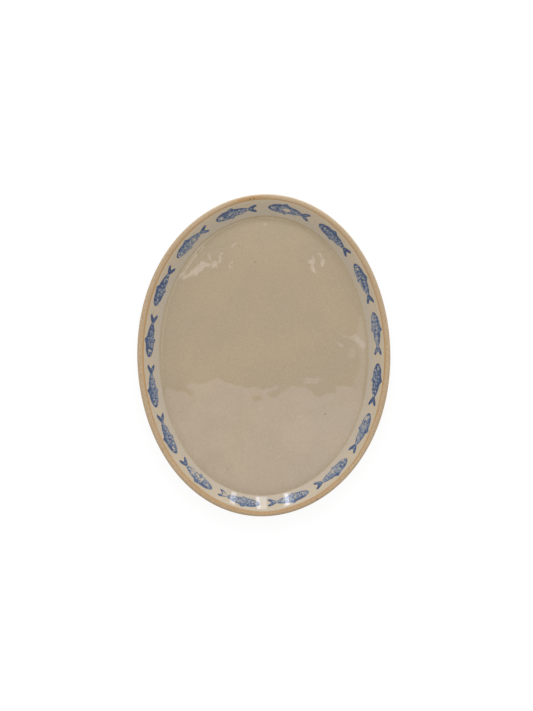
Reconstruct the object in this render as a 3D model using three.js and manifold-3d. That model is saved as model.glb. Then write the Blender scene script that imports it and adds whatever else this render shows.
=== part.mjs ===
// Oval stoneware platter: a fired clay shell, a poured glaze lining and a ring of stamped fish.
// Millimetres, +Z up. The origin lies on the table under the middle of the oval, and Y runs along its length.

import * as THREE from "three";
import { mergeVertices } from "three/addons/utils/BufferGeometryUtils.js";
import Module from "manifold-3d";

const wasm = await Module();
wasm.setup();

// Driving sizes of the oval
const LENGTH = 260;
const WIDTH = 204.4;
const HEIGHT = 18;

// How far the hand-pressed outline leaves a true oval, four times round, and where it is furthest in
const SQUARENESS = 0.44;
const SQUARENESS_TURN = THREE.MathUtils.degToRad(14.4);

// Rim: the bare band is wider along the sides of the oval and narrower at its ends
const RIM_WIDTH = 4.9;
const RIM_SWING = 0.5;
const RIM_DROP = 1.1;

// Wall, floor and the hollow between them
const WALL_SLOPE = THREE.MathUtils.degToRad(40);
const WALL_THICKNESS = 5.2;
const FLOOR_THICKNESS = 5.4;
const WELL_CORNER_RADIUS = 4;
const BASE_ROUNDING = 2;

// Foot ring, turned in one with the clay
const FOOT_HEIGHT = 2;
const FOOT_WIDTH = 5;
const FOOT_SETBACK = 1.5;
const FOOT_BEVEL = 0.7;

// Glaze poured over the floor and the inner wall
const GLAZE_THICKNESS = 0.6;

// One stamped fish, measured along the wall
const FISH_LENGTH = 35.4;
const FISH_DEPTH = 8.2;
const WAIST_DEPTH = 7;
const TAIL_LENGTH = 7.2;
const TAIL_SPREAD = 7;
const TAIL_FORK = 3.4;
const TAIL_ROOT = 2.2;
const BACK_FIN = 1.3;
const BACK_FIN_LENGTH = 6;
const BELLY_FIN = 1.1;
const BELLY_FIN_LENGTH = 4.4;

// How far down the wall the stamps lie and how much further at the ends of the oval, how many follow each
// other, the least gap that lets another in, how far the hand strays from even spacing, as shares of the gap,
// and how it turns the noses up on one side
const STAMP_DROP = 6.5;
const STAMP_SWING = 0.8;
const STAMP_COUNT = 16;
const LEAST_GAP = 1.5;
const STAMP_START = 22.9;
const STRAY_ONCE = 0.6;
const STRAY_ONCE_TURN = THREE.MathUtils.degToRad(68.5);
const STRAY_TWICE = 0.13;
const STRAY_TWICE_TURN = THREE.MathUtils.degToRad(155);
const STAMP_TILT = THREE.MathUtils.degToRad(1.2);

// Facets
const RING_STEPS = 72;
const RIM_STEPS = 4;
const BASE_STEPS = 2;
const CORNER_STEPS = 4;
const FISH_STEPS = 3;
const WELD = 1e-4;

// Values that follow from the sizes above
const HALF_LENGTH = LENGTH / 2;
const HALF_WIDTH = WIDTH / 2;
const FLOOR_HEIGHT = FOOT_HEIGHT + FLOOR_THICKNESS;
const DOWN_WALL = new THREE.Vector2(Math.cos(WALL_SLOPE), -Math.sin(WALL_SLOPE));
const OFF_WALL = new THREE.Vector2(Math.sin(WALL_SLOPE), Math.cos(WALL_SLOPE));
const WALL_TOP = new THREE.Vector2(RIM_WIDTH, HEIGHT - RIM_DROP);

/** Where a line down the wall meets a height. A profile point is (inset from the outline, height). */
function wallAtHeight(start, height) {
  return start.clone().addScaledVector(DOWN_WALL, (start.y - height) / Math.sin(WALL_SLOPE));
}

const WALL_BACK_TOP = WALL_TOP.clone().addScaledVector(OFF_WALL, -WALL_THICKNESS);
const BASE_CORNER = wallAtHeight(WALL_BACK_TOP, FOOT_HEIGHT);
const FOOT_OUTER = BASE_CORNER.x + BASE_ROUNDING + FOOT_SETBACK;
const FOOT_INNER = FOOT_OUTER + FOOT_WIDTH;
const CORE_INSET = FOOT_INNER + FOOT_BEVEL;

/** The point at a sweep angle, an inset from the outline and a height; the plan closes up at the middle. */
function ovalPoint(angle, inset, height) {
  const reach = HALF_WIDTH - inset;
  const share = Math.min(1, reach / (HALF_WIDTH - CORE_INSET));
  const swing = RIM_SWING * Math.cos(2 * angle) * Math.min(1, inset / RIM_WIDTH);
  const pressed = SQUARENESS * (Math.cos(4 * (angle - SQUARENESS_TURN)) - Math.cos(4 * SQUARENESS_TURN));
  const drawnIn = (swing + pressed) * share;
  const stretch = (HALF_LENGTH - HALF_WIDTH) * share;
  return new THREE.Vector3(
    (reach - drawnIn) * Math.cos(angle),
    (reach + stretch - drawnIn) * Math.sin(angle),
    height,
  );
}

/** Sweeps a profile round the oval. The profile runs counter-clockwise, seen with the inset to the left. */
function ovalSweep(profile) {
  const points = profile.map((point) => new THREE.Vector2(Math.max(0, HALF_WIDTH - point.x), point.y));
  const geometry = new THREE.LatheGeometry(points, RING_STEPS);
  geometry.rotateX(Math.PI / 2);
  const position = geometry.attributes.position;
  const vertex = new THREE.Vector3();
  for (let i = 0; i < position.count; i += 1) {
    vertex.fromBufferAttribute(position, i);
    const inset = HALF_WIDTH - Math.hypot(vertex.x, vertex.y);
    const moved = ovalPoint(Math.atan2(vertex.y, vertex.x), inset, vertex.z);
    position.setXYZ(i, moved.x, moved.y, moved.z);
  }
  return geometry;
}

/** The lined surface from the bare rim down to the middle of the floor, lifted off the clay. */
function liningProfile(lift) {
  const radius = WELL_CORNER_RADIUS - lift;
  const above = FLOOR_HEIGHT + WELL_CORNER_RADIUS * (1 - Math.cos(WALL_SLOPE));
  const centre = wallAtHeight(WALL_TOP, above).addScaledVector(OFF_WALL, WELL_CORNER_RADIUS);
  const points = [WALL_TOP.clone().addScaledVector(OFF_WALL, lift)];
  for (let i = 0; i <= CORNER_STEPS; i += 1) {
    const lean = WALL_SLOPE * (1 - i / CORNER_STEPS);
    points.push(new THREE.Vector2(centre.x - radius * Math.sin(lean), centre.y - radius * Math.cos(lean)));
  }
  points.push(new THREE.Vector2(HALF_WIDTH, FLOOR_HEIGHT + lift));
  return points;
}

/** The clay's outside, from the middle of the underside over the foot and wall to the rim's inner edge. */
function clayProfile() {
  const lipHeight = WALL_BACK_TOP.y + WALL_BACK_TOP.x * Math.tan(WALL_SLOPE);
  const crestEnd = wallAtHeight(WALL_TOP, HEIGHT).x;
  const baseEnd = BASE_CORNER.clone().addScaledVector(DOWN_WALL, -BASE_ROUNDING);
  const base = new THREE.Path();
  base.moveTo(BASE_CORNER.x + BASE_ROUNDING, FOOT_HEIGHT);
  base.quadraticCurveTo(BASE_CORNER.x, BASE_CORNER.y, baseEnd.x, baseEnd.y);
  const rim = new THREE.Path();
  rim.moveTo(0, lipHeight);
  rim.quadraticCurveTo(0, HEIGHT, crestEnd / 2, HEIGHT);
  rim.quadraticCurveTo(crestEnd, HEIGHT, WALL_TOP.x, WALL_TOP.y);
  return [
    new THREE.Vector2(HALF_WIDTH, FOOT_HEIGHT),
    new THREE.Vector2(FOOT_INNER + FOOT_BEVEL, FOOT_HEIGHT),
    new THREE.Vector2(FOOT_INNER, FOOT_BEVEL),
    new THREE.Vector2(FOOT_INNER - FOOT_BEVEL, 0),
    new THREE.Vector2(FOOT_OUTER + FOOT_BEVEL, 0),
    new THREE.Vector2(FOOT_OUTER, FOOT_BEVEL),
    new THREE.Vector2(FOOT_OUTER, FOOT_HEIGHT),
    ...base.getPoints(BASE_STEPS),
    ...rim.getPoints(RIM_STEPS),
  ];
}

/** A closed solid for joining and cutting, from a closed geometry. */
function solidFrom(geometry) {
  geometry.deleteAttribute("normal");
  geometry.deleteAttribute("uv");
  const merged = mergeVertices(geometry, WELD);
  const mesh = new wasm.Mesh({
    numProp: 3,
    vertProperties: merged.attributes.position.array,
    triVerts: merged.index.array,
  });
  return new wasm.Manifold(mesh);
}

/** A geometry from a solid, with flat facets. */
function geometryFrom(solid) {
  const mesh = solid.getMesh();
  const indexed = new THREE.BufferGeometry();
  indexed.setAttribute("position", new THREE.BufferAttribute(mesh.vertProperties, 3));
  indexed.setIndex(new THREE.BufferAttribute(mesh.triVerts, 1));
  const geometry = indexed.toNonIndexed();
  geometry.computeVertexNormals();
  return geometry;
}

/** One fish as seen from the middle of the platter: its nose is to the left and its back is up. */
function fishShape() {
  const nose = -FISH_LENGTH / 2;
  const tail = FISH_LENGTH / 2;
  const root = tail - TAIL_LENGTH;
  const fork = tail - TAIL_FORK;
  const back = FISH_DEPTH / 2;
  const waist = WAIST_DEPTH / 2;
  const fin = (nose + root) / 2;
  const finFront = fin - BACK_FIN_LENGTH / 2;
  const finEnd = fin + BACK_FIN_LENGTH / 2;
  const bellyFront = fin - BELLY_FIN_LENGTH / 2;
  const bellyEnd = fin + BELLY_FIN_LENGTH / 2;
  const lobe = TAIL_SPREAD / 2;
  const stalk = TAIL_ROOT / 2;
  const fish = new THREE.Shape();
  fish.moveTo(nose, 0);
  fish.bezierCurveTo(nose, -back / 2, (nose + bellyFront) / 2, -back, bellyFront, -back);
  fish.lineTo(fin, -back - BELLY_FIN);
  fish.lineTo(bellyEnd, -waist);
  fish.quadraticCurveTo((bellyEnd + root) / 2, -waist, root, -stalk);
  fish.quadraticCurveTo((root + fork) / 2, -lobe, tail, -lobe);
  fish.quadraticCurveTo(fork, -stalk, fork, 0);
  fish.quadraticCurveTo(fork, stalk, tail, lobe);
  fish.quadraticCurveTo((root + fork) / 2, lobe, root, stalk);
  fish.quadraticCurveTo((finEnd + root) / 2, waist, finEnd, waist);
  fish.lineTo(fin, back + BACK_FIN);
  fish.lineTo(finFront, back);
  fish.bezierCurveTo((nose + finFront) / 2, back, nose, back / 2, nose, 0);
  return fish;
}

/** The oval line along which the fish swim, part of the way down the wall. */
class StampLine extends THREE.Curve {
  /** The line's profile point at a sweep angle. */
  middleAt(angle) {
    return WALL_TOP.clone().addScaledVector(DOWN_WALL, STAMP_DROP - STAMP_SWING * Math.cos(2 * angle));
  }

  getPoint(share, target = new THREE.Vector3()) {
    const angle = share * 2 * Math.PI;
    const middle = this.middleAt(angle);
    return target.copy(ovalPoint(angle, middle.x, middle.y));
  }

  /** The matrix that lays a drawing on the wall at a distance along the line: y up the wall, z off it. */
  placeAt(along) {
    const share = THREE.MathUtils.euclideanModulo(along / this.getLength(), 1);
    const angle = this.getUtoTmapping(share) * 2 * Math.PI;
    const middle = this.middleAt(angle);
    const upper = ovalPoint(angle, WALL_TOP.x, WALL_TOP.y);
    const lower = ovalPoint(angle, WALL_TOP.x + DOWN_WALL.x, WALL_TOP.y + DOWN_WALL.y);
    const clockwise = this.getTangentAt(share).negate();
    const off = clockwise.clone().cross(upper.sub(lower)).normalize();
    const up = off.clone().cross(clockwise);
    const place = new THREE.Matrix4().makeBasis(clockwise, up, off);
    return place.setPosition(ovalPoint(angle, middle.x, middle.y));
  }
}

/** A stout slug in the shape of one fish, nose turned up, bent round the wall and through the lining. */
function fishSlug(line, along, noseUp) {
  const reach = 6 * GLAZE_THICKNESS;
  const slug = new THREE.ExtrudeGeometry(fishShape(), {
    depth: 2 * reach,
    bevelEnabled: false,
    curveSegments: FISH_STEPS,
  });
  slug.translate(0, 0, -reach);
  slug.rotateZ(-noseUp);
  const position = slug.attributes.position;
  const vertex = new THREE.Vector3();
  for (let i = 0; i < position.count; i += 1) {
    vertex.fromBufferAttribute(position, i);
    const place = line.placeAt(along - vertex.x);
    vertex.setX(0).applyMatrix4(place);
    position.setXYZ(i, vertex.x, vertex.y, vertex.z);
  }
  return solidFrom(slug);
}

/** The slugs of all the fish, one after the other round the wall. */
function fishSlugs() {
  const line = new StampLine();
  const length = line.getLength();
  const count = Math.min(STAMP_COUNT, Math.floor(length / (FISH_LENGTH + LEAST_GAP)));
  const gap = length / count - FISH_LENGTH;
  const slugs = [];
  for (let i = 0; i < count; i += 1) {
    const turn = (2 * Math.PI * i) / count;
    const strayOnce = STRAY_ONCE * Math.sin(turn - STRAY_ONCE_TURN);
    const strayTwice = STRAY_TWICE * Math.sin(2 * turn - STRAY_TWICE_TURN);
    const along = STAMP_START + (i * length) / count + gap * (strayOnce + strayTwice);
    slugs.push(fishSlug(line, along, STAMP_TILT * (1 - Math.cos(turn))));
  }
  return slugs;
}

const CLAY = new THREE.MeshStandardMaterial({ color: 0xb6a082, roughness: 0.85, metalness: 0 });
const GLAZE = new THREE.MeshStandardMaterial({ color: 0xb0a088, roughness: 0.15, metalness: 0 });
const COBALT = new THREE.MeshStandardMaterial({ color: 0x4f5f8c, roughness: 0.15, metalness: 0 });

const platter = new THREE.Group();

/** Adds one named solid to the platter. */
function addPiece(name, solid, material) {
  const mesh = new THREE.Mesh(geometryFrom(solid), material);
  mesh.name = name;
  platter.add(mesh);
}

const body = solidFrom(ovalSweep([...clayProfile().slice(0, -1), ...liningProfile(0)]));
const coatBlank = [...liningProfile(-GLAZE_THICKNESS).reverse(), ...liningProfile(GLAZE_THICKNESS)];
const coat = solidFrom(ovalSweep(coatBlank)).subtract(body);
const slugs = fishSlugs();

addPiece("stoneware_body", body, CLAY);
addPiece("glaze_lining", coat.subtract(wasm.Manifold.union(slugs)), GLAZE);
slugs.forEach((slug, i) => {
  addPiece(`fish_stamp_${String(i + 1).padStart(2, "0")}`, coat.intersect(slug), COBALT);
});

export default platter;
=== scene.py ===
"""Looks of an oval stoneware platter: bare clay body, glossy lining and a ring of stamped fish.

The platter's sizes are in millimetres until a mesh is finished, and the studio's are in metres. A profile
point is an inset from the outline and a height.
"""

import bisect
import logging
import math
from collections.abc import Callable, Iterator
from dataclasses import dataclass, field
from enum import Enum
from typing import Any

import bmesh
import bpy
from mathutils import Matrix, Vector, noise


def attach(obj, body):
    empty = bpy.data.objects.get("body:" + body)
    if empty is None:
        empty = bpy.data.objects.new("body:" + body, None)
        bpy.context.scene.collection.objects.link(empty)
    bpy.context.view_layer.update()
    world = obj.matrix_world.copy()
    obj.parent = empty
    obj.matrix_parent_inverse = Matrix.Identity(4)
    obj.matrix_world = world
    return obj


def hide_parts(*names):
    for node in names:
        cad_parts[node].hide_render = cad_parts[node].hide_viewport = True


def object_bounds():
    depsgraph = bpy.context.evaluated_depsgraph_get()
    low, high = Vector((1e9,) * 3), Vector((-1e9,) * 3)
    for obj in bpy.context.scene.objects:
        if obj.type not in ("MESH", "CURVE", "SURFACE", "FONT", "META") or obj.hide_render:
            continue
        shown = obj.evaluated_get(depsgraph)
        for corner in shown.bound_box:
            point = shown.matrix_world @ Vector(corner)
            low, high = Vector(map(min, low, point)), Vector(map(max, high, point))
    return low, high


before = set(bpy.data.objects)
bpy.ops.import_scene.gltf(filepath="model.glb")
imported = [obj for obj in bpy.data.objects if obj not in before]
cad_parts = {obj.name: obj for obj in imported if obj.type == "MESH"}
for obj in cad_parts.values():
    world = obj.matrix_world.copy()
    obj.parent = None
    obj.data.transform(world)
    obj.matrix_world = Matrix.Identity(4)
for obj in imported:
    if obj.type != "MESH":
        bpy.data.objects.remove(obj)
CAD_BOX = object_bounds()

log = logging.getLogger("platter")

MM = 0.001
IMAGE_WIDTH, IMAGE_HEIGHT = 533, 711
RIM_WIDTH = 4.9
FISH_LENGTH = 35.4
WELD = 0.001
STAMP_WELD = 0.005
ROUNDING_STEPS = 6
SHARP_ANGLE = math.radians(50)

Colour = tuple[float, float, float, float]
Pair = tuple[float, float]
Point = tuple[float, float, float]


def smooth_step(value: float, low: float, high: float) -> float:
    """Rises smoothly from 0 at low to 1 at high.

    Args:
        value: where to read the ramp.
        low: where the ramp starts.
        high: where the ramp ends.

    Returns:
        A share from 0 to 1.
    """
    share = min(1.0, max(0.0, (value - low) / (high - low)))
    return share * share * (3.0 - 2.0 * share)


def paint(red: int, green: int, blue: int) -> Colour:
    """A linear colour from the 0 to 255 values of a colour chart.

    Args:
        red: red value.
        green: green value.
        blue: blue value.

    Returns:
        The linear colour, opaque.
    """
    def linear(level: int) -> float:
        """One channel, out of its display curve."""
        share = level / 255
        return share / 12.92 if share <= 0.04045 else ((share + 0.055) / 1.055) ** 2.4

    return linear(red), linear(green), linear(blue), 1.0


@dataclass(frozen=True)
class Ramp:
    """The two ends of a smooth ramp, and the share that it reaches."""

    low: float
    high: float
    share: float = 1.0


class Shade:
    """A shader socket that takes part in Python sums; every operation adds a Math node."""

    def __init__(self, bench: "NodeBench", socket: bpy.types.NodeSocket) -> None:
        """Keeps the socket and the bench that made it."""
        self.bench = bench
        self.socket = socket

    def _math(self, operation: str, *terms: "Shade | float") -> "Shade":
        """Adds a Math node.

        Args:
            operation: the node's operation.
            terms: its inputs, in order.

        Returns:
            The node's result.
        """
        return self.bench.shade("ShaderNodeMath", {"operation": operation}, dict(enumerate(terms)))

    def __add__(self, other: "Shade | float") -> "Shade":
        """Sum."""
        return self._math("ADD", self, other)

    def __radd__(self, other: float) -> "Shade":
        """Sum with a number first."""
        return self._math("ADD", other, self)

    def __sub__(self, other: "Shade | float") -> "Shade":
        """Difference."""
        return self._math("SUBTRACT", self, other)

    def __rsub__(self, other: float) -> "Shade":
        """Difference with a number first."""
        return self._math("SUBTRACT", other, self)

    def __mul__(self, other: "Shade | float") -> "Shade":
        """Product."""
        return self._math("MULTIPLY", self, other)

    def __rmul__(self, other: float) -> "Shade":
        """Product with a number first."""
        return self._math("MULTIPLY", other, self)

    def __truediv__(self, other: "Shade | float") -> "Shade":
        """Quotient."""
        return self._math("DIVIDE", self, other)

    def __abs__(self) -> "Shade":
        """Size without sign."""
        return self._math("ABSOLUTE", self)

    def sine(self) -> "Shade":
        """Sine of an angle in radians."""
        return self._math("SINE", self)

    def root(self) -> "Shade":
        """Square root."""
        return self._math("SQRT", self)

    def least(self, other: "Shade | float") -> "Shade":
        """The smaller of two values."""
        return self._math("MINIMUM", self, other)

    def most(self, other: "Shade | float") -> "Shade":
        """The larger of two values."""
        return self._math("MAXIMUM", self, other)

    def rise(self, low: float, high: float) -> "Shade":
        """Smooth ramp from 0 at low to 1 at high."""
        sockets = {"Value": self, "From Min": low, "From Max": high}
        return self.bench.shade("ShaderNodeMapRange", {"interpolation_type": "SMOOTHSTEP"}, sockets)

    def fall(self, low: float, high: float) -> "Shade":
        """Smooth ramp from 1 at low to 0 at high."""
        return 1 - self.rise(low, high)

    def up(self, ramp: Ramp) -> "Shade":
        """The ramp's rise from 0 to its share."""
        rise = self.rise(ramp.low, ramp.high)
        return rise if ramp.share == 1 else rise * ramp.share

    def down(self, ramp: Ramp) -> "Shade":
        """The ramp's fall from its share to 0."""
        fall = self.fall(ramp.low, ramp.high)
        return fall if ramp.share == 1 else fall * ramp.share


class NodeBench:
    """Makes the nodes of one material or of the world."""

    def __init__(self, tree: bpy.types.NodeTree) -> None:
        """Starts on an empty tree."""
        self.tree = tree
        tree.nodes.clear()

    def node(
        self,
        kind: str,
        settings: dict[str, Any] | None = None,
        sockets: dict[str | int, Any] | None = None,
    ) -> bpy.types.Node:
        """Makes a node.

        Args:
            kind: the node's type.
            settings: its settings, which are set first.
            sockets: values or links of its inputs, by name or number.

        Returns:
            The node.
        """
        node = self.tree.nodes.new(kind)
        for name, setting in (settings or {}).items():
            setattr(node, name, setting)
        for key, value in (sockets or {}).items():
            if isinstance(value, Shade):
                self.tree.links.new(value.socket, node.inputs[key])
            else:
                node.inputs[key].default_value = value
        return node

    def shade(
        self,
        kind: str,
        settings: dict[str, Any] | None = None,
        sockets: dict[str | int, Any] | None = None,
        output: str | int = 0,
    ) -> Shade:
        """Makes a node and gives one of its outputs.

        Args:
            kind: the node's type.
            settings: its settings, which are set first.
            sockets: values or links of its inputs, by name or number.
            output: the output to give, by name or number.

        Returns:
            The output, ready for sums.
        """
        return Shade(self, self.node(kind, settings, sockets).outputs[output])

    def place(self) -> Shade:
        """Object coordinates in millimetres."""
        metres = self.shade("ShaderNodeTexCoord", output="Object")
        return self.shade("ShaderNodeVectorMath", {"operation": "SCALE"}, {0: metres, "Scale": 1 / MM})

    def parts(self, vector: Shade) -> tuple[Shade, Shade, Shade]:
        """The three coordinates of a vector."""
        split = self.node("ShaderNodeSeparateXYZ", None, {0: vector})
        return tuple(Shade(self, socket) for socket in split.outputs)

    def away(self, vector: Shade, point: Point) -> Shade:
        """Distance of a place from a point."""
        return self.shade("ShaderNodeVectorMath", {"operation": "DISTANCE"}, {0: vector, 1: point}, "Value")

    def attribute(self, name: str) -> Shade:
        """A number that the mesh carries at its points."""
        return self.shade("ShaderNodeAttribute", {"attribute_name": name}, output="Fac")

    def mottle(self, place: Shade, size: float, detail: float = 2.0, roughness: float = 0.5) -> Shade:
        """Cloudy noise.

        Args:
            place: where it is read.
            size: size of its clouds in the units of place.
            detail: how many finer layers it has.
            roughness: how strong the finer layers are.

        Returns:
            A value of about 0.5, mostly between 0.25 and 0.75.
        """
        sockets = {"Vector": place, "Scale": 1 / size, "Detail": detail, "Roughness": roughness}
        return self.shade("ShaderNodeTexNoise", None, sockets)

    def grains(self, place: Shade, size: float) -> tuple[Shade, Shade]:
        """Scattered grains.

        Args:
            place: where they are read.
            size: how far apart they lie.

        Returns:
            The distance from the nearest grain's middle, and a random value from 0 to 1 for each grain.
        """
        cells = self.node("ShaderNodeTexVoronoi", None, {"Vector": place, "Scale": 1 / size})
        pick = self.node("ShaderNodeSeparateColor", None, {0: Shade(self, cells.outputs["Color"])})
        return Shade(self, cells.outputs["Distance"]) * size, Shade(self, pick.outputs[0])

    def blend(self, share: Shade | float, first: Shade | Colour, second: Shade | Colour) -> Shade:
        """Goes from the first colour to the second as share goes from 0 to 1."""
        return self.shade("ShaderNodeMix", {"data_type": "RGBA"}, {0: share, 6: first, 7: second}, 2)

    def relief(self, height: Shade, depth: float) -> Shade:
        """A normal bumped by a height from 0 to 1 that stands for a depth in millimetres."""
        return self.shade("ShaderNodeBump", None, {"Strength": 1.0, "Distance": depth * MM, "Height": height})

    def surface(self, kind: str, sockets: dict[str | int, Any]) -> None:
        """Makes the shader that the material shows."""
        shader = self.shade(kind, None, sockets)
        self.node("ShaderNodeOutputMaterial", None, {"Surface": shader})


def new_material(name: str) -> tuple[bpy.types.Material, NodeBench]:
    """Starts a node material.

    Args:
        name: the material's name.

    Returns:
        The material and the bench for its nodes.
    """
    material = bpy.data.materials.new(name)
    material.use_nodes = True
    return material, NodeBench(material.node_tree)


@dataclass(frozen=True)
class RimDip:
    """A place where the rim's bare band is narrower, or wider if the depth is below 0; angles in degrees."""

    turn: float
    spread: float
    depth: float

    def at(self, angle: float) -> float:
        """How far the band is narrower at a sweep angle."""
        off = math.remainder(angle - math.radians(self.turn), 2 * math.pi)
        return self.depth * math.exp(-((off / math.radians(self.spread)) ** 2))


@dataclass(frozen=True)
class OvalPlan:
    """The platter's plan, an oval whose corners are a little pressed, and the sag of its hand-rolled rim."""

    half_width: float
    half_length: float
    rim_width: float = RIM_WIDTH
    rim_swing: float = 0.5
    squareness: float = 0.44
    squareness_turn: float = 14.4
    core_inset: float = 23.77
    floor_edge: float = 17.7
    dips: tuple[RimDip, ...] = (
        RimDip(12, 25, 0.45), RimDip(140, 14, -0.3), RimDip(245, 12, -0.4),
        RimDip(272, 7, 0.45), RimDip(318, 16, 0.8),
    )
    rim_sag: float = 0.35
    sag_from: float = 8.0
    sag_to: float = 18.0
    sag_pace: float = 2.2
    sag_seed: float = 3.7
    dent: float = 0.1
    dent_size: float = 14.0
    dent_seed: float = 5.1
    dent_fade: float = 3.0

    def place(self, angle: float, inset: float, height: float) -> Vector:
        """Where a profile point lies.

        Args:
            angle: sweep angle, anticlockwise from +X.
            inset: distance in from the outline.
            height: height over the table.

        Returns:
            The point.
        """
        reach = self.half_width - inset
        share = min(1.0, reach / (self.half_width - self.core_inset))
        past_rim = min(1.0, inset / self.rim_width)
        up_wall = 1 - smooth_step(inset, self.rim_width, self.floor_edge)
        swing = self.rim_swing * math.cos(2 * angle) * past_rim
        turn = math.radians(self.squareness_turn)
        pressed = self.squareness * (math.cos(4 * (angle - turn)) - math.cos(4 * turn))
        dip = sum(dip.at(angle) for dip in self.dips) * past_rim * up_wall
        drawn_in = (swing + pressed - dip) * share
        stretch = (self.half_length - self.half_width) * share
        x = (reach - drawn_in) * math.cos(angle)
        y = (reach + stretch - drawn_in) * math.sin(angle)
        round_rim = Vector((self.sag_pace * math.cos(angle), self.sag_pace * math.sin(angle), self.sag_seed))
        wander = 0.5 + 0.5 * noise.noise(round_rim)
        sag = self.rim_sag * wander * smooth_step(height, self.sag_from, self.sag_to)
        on_wall = up_wall * smooth_step(inset, self.rim_width, self.rim_width + self.dent_fade)
        over_plan = Vector((x / self.dent_size, y / self.dent_size, self.dent_seed))
        dent = self.dent * noise.noise(over_plan) * on_wall
        return Vector((x, y, height - sag + dent))


@dataclass(frozen=True)
class WallProfile:
    """The wall between the rim and the floor, and the glaze that thins out towards its edge on the rim."""

    height: float
    rim_width: float = RIM_WIDTH
    rim_drop: float = 1.1
    slope: float = math.radians(40)
    thickness: float = 5.2
    floor_height: float = 7.4
    corner_radius: float = 4.0
    glaze: float = 0.6
    glaze_edge: float = 0.1
    glaze_run: float = 2.6

    def point(self, drop: float, lift: float) -> Pair:
        """A point of the wall, or off it.

        Args:
            drop: how far down the wall it lies.
            lift: how far off the clay it lies.

        Returns:
            Its inset and height.
        """
        inset = self.rim_width + drop * math.cos(self.slope) + lift * math.sin(self.slope)
        height = self.height - self.rim_drop - drop * math.sin(self.slope) + lift * math.cos(self.slope)
        return inset, height

    def drop_to(self, height: float, lift: float) -> float:
        """How far down the wall, at that lift, a height is reached."""
        return (self.point(0, lift)[1] - height) / math.sin(self.slope)

    def glaze_at(self, drop: float) -> float:
        """Thickness of the glaze at a distance down the wall."""
        share = 1 - (1 - min(1.0, drop / self.glaze_run)) ** 2
        return self.glaze_edge + (self.glaze - self.glaze_edge) * share

    def corner(self, lift: float) -> Point:
        """The sharp corner of wall and floor.

        Args:
            lift: how far off the clay it lies.

        Returns:
            Its inset and height, and the length that its rounding takes off.
        """
        floor = self.floor_height + lift
        inset, height = self.point(self.drop_to(floor, lift), lift)
        return inset, height, (self.corner_radius - lift) * math.tan(self.slope / 2)


@dataclass(frozen=True)
class Corner:
    """A corner of a turned profile, and how far along its sides it is rounded."""

    inset: float
    height: float
    rounding: float = 0.0


def bent(start: Pair, pull: Pair, end: Pair, steps: int) -> Iterator[Corner]:
    """Corners along a bend that leaves its start towards a pull and comes to its end from there.

    Args:
        start: inset and height of the start, which isn't given again.
        pull: inset and height that the bend is drawn to.
        end: inset and height of the end.
        steps: how many corners.

    Yields:
        The corners in order.
    """
    for step in range(1, steps + 1):
        t = step / steps
        near, mid, far = (1 - t) ** 2, 2 * t * (1 - t), t * t
        yield Corner(*(near * a + mid * b + far * c for a, b, c in zip(start, pull, end)))


def turned(corners: list[Corner], half_width: float, steps: int, longest: float) -> bmesh.types.BMesh:
    """Turns a profile into a round form.

    Args:
        corners: the profile, from one end to the other.
        half_width: radius of the outline, where the inset is 0.
        steps: facets round the form.
        longest: longest edge that is left along the profile.

    Returns:
        The round form, with its poles and its seam merged and its normals recalculated.
    """
    bm = bmesh.new()
    chain = [bm.verts.new((half_width - corner.inset, 0.0, corner.height)) for corner in corners]
    for pair in zip(chain, chain[1:]):
        bm.edges.new(pair)
    for vert, corner in zip(chain, corners):
        if corner.rounding:
            bmesh.ops.bevel(
                bm, geom=[vert], offset=corner.rounding, offset_type="OFFSET", affect="VERTICES",
                segments=ROUNDING_STEPS, profile=0.5, material=-1,
            )
    for edge in list(bm.edges):
        cuts = math.ceil(edge.calc_length() / longest) - 1
        if cuts > 0:
            bmesh.ops.subdivide_edges(bm, edges=[edge], cuts=cuts)
    bmesh.ops.spin(
        bm, geom=bm.verts[:] + bm.edges[:], cent=(0, 0, 0), axis=(0, 0, 1), angle=2 * math.pi,
        steps=steps, use_merge=True,
    )
    bmesh.ops.remove_doubles(bm, verts=bm.verts, dist=WELD)
    bmesh.ops.recalc_face_normals(bm, faces=bm.faces)
    return bm


def press_to_oval(bm: bmesh.types.BMesh, plan: OvalPlan, lift: Callable[[Vector, float], float]) -> None:
    """Presses a round form to the oval plan and keeps each point's inset as an attribute.

    Args:
        bm: the round form.
        plan: the oval plan.
        lift: how far a point is raised, from its place in the plan and its inset.
    """
    mark = bm.verts.layers.float.new("inset")
    for vert in bm.verts:
        inset = plan.half_width - math.hypot(vert.co.x, vert.co.y)
        vert[mark] = inset
        vert.co = plan.place(math.atan2(vert.co.y, vert.co.x), inset, vert.co.z)
        vert.co.z += lift(vert.co, inset)


def finished(
    bm: bmesh.types.BMesh,
    name: str,
    material: bpy.types.Material,
    node: str,
) -> bpy.types.Object:
    """Makes a mesh a piece of the platter in metres, smooth but for its sharp edges.

    Args:
        bm: the mesh in millimetres, which is used up.
        name: the piece's name.
        material: its finish.
        node: the CAD node that it stands for.

    Returns:
        The piece.
    """
    bmesh.ops.scale(bm, vec=(MM, MM, MM), verts=bm.verts)
    mesh = bpy.data.meshes.new(name)
    bm.to_mesh(mesh)
    bm.free()
    mesh.materials.append(material)
    mesh.shade_smooth()
    mesh.set_sharp_from_angle(angle=SHARP_ANGLE)
    piece = bpy.data.objects.new(name, mesh)
    bpy.context.scene.collection.objects.link(piece)
    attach(piece, "root")
    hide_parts(node)
    log.info("%s stands for %s: %d faces", name, node, len(mesh.polygons))
    return piece


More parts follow.
